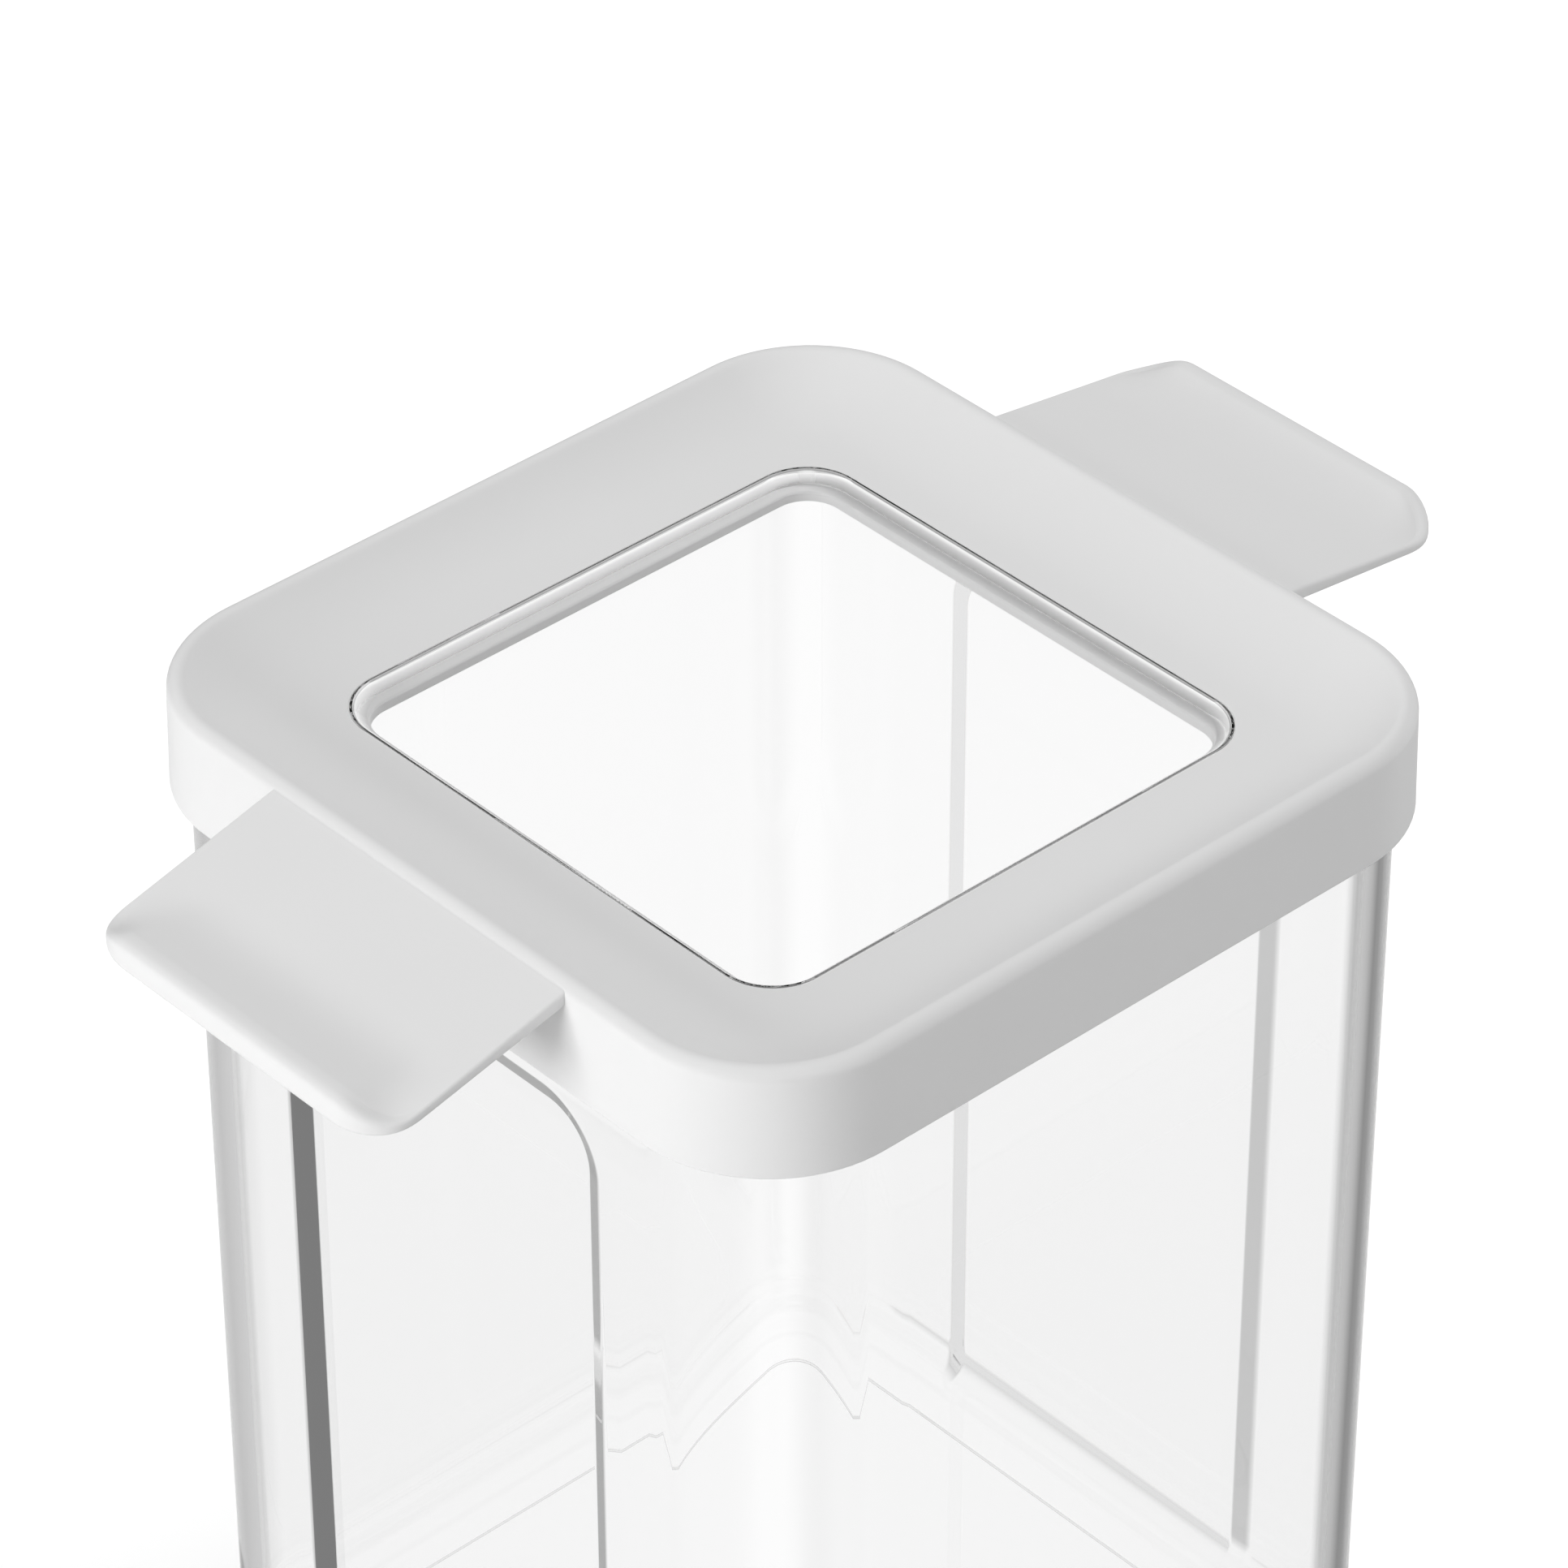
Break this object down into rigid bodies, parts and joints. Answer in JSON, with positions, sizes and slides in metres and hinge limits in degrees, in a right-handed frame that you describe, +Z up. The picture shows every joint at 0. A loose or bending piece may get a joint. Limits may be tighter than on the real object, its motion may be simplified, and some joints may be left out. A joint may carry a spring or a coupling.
{
  "type": "lidded glass canister",
  "caption": "Square lidded glass canister: clear jar with grip recesses and a lift-off white lid that has finger wings, a clear window and a soft seal.",
  "frame": {"origin": "middle of the jar's base, on the surface it stands on", "axes": "+Z up along the jar's axis; the finger wings and grip recesses are on the -Y and +Y faces; the plain faces are -X and +X"},
  "size_m": [0.118, 0.1748, 0.16],
  "materials": {
    "clear_glass": "clear, polished",
    "white_plastic": "satin",
    "clear_window": "clear, polished",
    "seal_rubber": "matte, translucent white"
  },
  "bodies": {
    "jar": {"glass_jar": "clear_glass"},
    "lid": {"lid_frame": "white_plastic", "lid_window": "clear_window", "lid_seal": "seal_rubber"}
  },
  "joints": [
    {"name": "lid_lift", "type": "slide", "parent": "jar", "child": "lid", "axis": [0, 0, 1], "range_m": [0, 0.04]}
  ]
}
